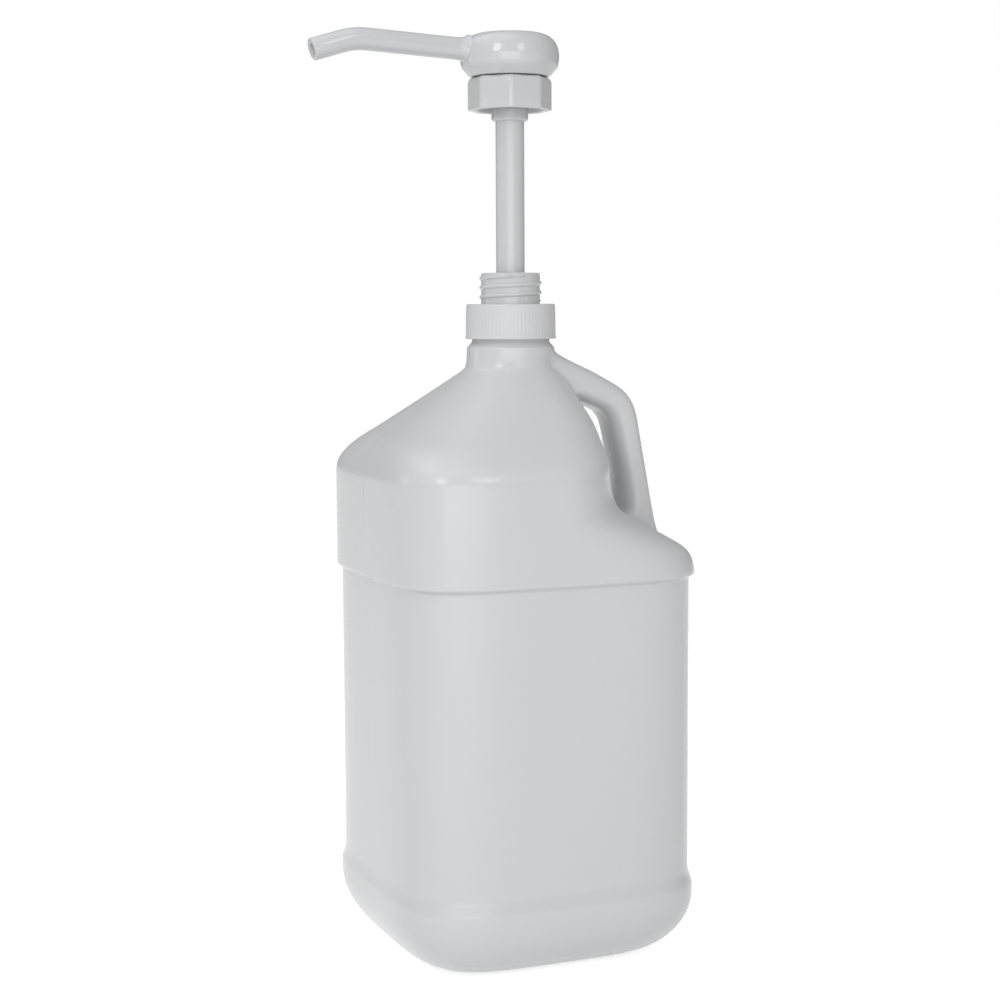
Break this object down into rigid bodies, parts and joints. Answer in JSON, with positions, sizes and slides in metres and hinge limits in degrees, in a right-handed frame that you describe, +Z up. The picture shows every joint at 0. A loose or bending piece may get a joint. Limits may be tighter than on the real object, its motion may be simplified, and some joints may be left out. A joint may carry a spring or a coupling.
{
  "type": "pump jug",
  "caption": "Square blow-moulded jug with a through handle, a screw closure and a tall hand pump with a bent spout and a lock nut.",
  "frame": {"origin": "centre of the jug's base, on the axis of the neck and the pump", "axes": "+Z up along the pump's axis, +X from the neck towards the handle, so the spout points along -X"},
  "size_m": [0.1646, 0.1408, 0.4124],
  "materials": {
    "jug_plastic": "soft semi-matte, faintly milky",
    "closure_plastic": "matte, fine vertical ribs",
    "pump_plastic": "smooth semi-gloss",
    "inner_plastic": "natural, moulded",
    "seal_plastic": "soft matte",
    "steel": "drawn wire and polished balls"
  },
  "bodies": {
    "jug": {"jug": "jug_plastic"},
    "pump_body": {"neck_gasket": "seal_plastic", "pump_cylinder": "inner_plastic", "threaded_collar": "pump_plastic", "stem_seal": "seal_plastic", "dip_tube": "inner_plastic", "ball_cage": "inner_plastic", "return_spring": "steel"},
    "closure": {"closure": "closure_plastic"},
    "piston_ring": {"piston_ring": "seal_plastic"},
    "plunger": {"piston": "inner_plastic", "stem": "pump_plastic", "stem_collar": "pump_plastic", "pump_head": "pump_plastic"},
    "lock_nut": {"lock_nut": "pump_plastic"},
    "inlet_ball": {"inlet_ball": "steel"},
    "outlet_ball": {"outlet_ball": "steel"}
  },
  "joints": [
    {"name": "pump_lift", "type": "slide", "parent": "jug", "child": "pump_body", "axis": [0, 0, 1], "range_m": [0, 0.00529]},
    {"name": "closure_turn", "type": "hinge", "parent": "pump_body", "child": "closure", "pos_m": [0, 0, 0.2843], "axis": [0, 0, 1], "range_deg": [0, 450]},
    {"name": "pump_stroke", "type": "slide", "parent": "pump_body", "child": "piston_ring", "axis": [0, 0, -1], "range_m": [0, 0.07], "stiffness_N_per_m": 250, "springref_m": -0.03, "deforming": ["return_spring"]},
    {"name": "head_swivel", "type": "hinge", "parent": "piston_ring", "child": "plunger", "pos_m": [0, 0, 0.403], "axis": [0, 0, 1], "continuous": true},
    {"name": "nut_spin", "type": "hinge", "parent": "plunger", "child": "lock_nut", "pos_m": [0, 0, 0.385], "axis": [0, 0, 1], "continuous": true},
    {"name": "inlet_ball_lift", "type": "slide", "parent": "pump_body", "child": "inlet_ball", "axis": [0, 0, 1], "range_m": [0, 0.002]},
    {"name": "outlet_ball_lift", "type": "slide", "parent": "plunger", "child": "outlet_ball", "axis": [0, 0, 1], "range_m": [0, 0.002]}
  ],
  "couplings": [
    {"joint": "closure_turn", "follows": "pump_lift", "rad_per_m": 1484.3}
  ]
}
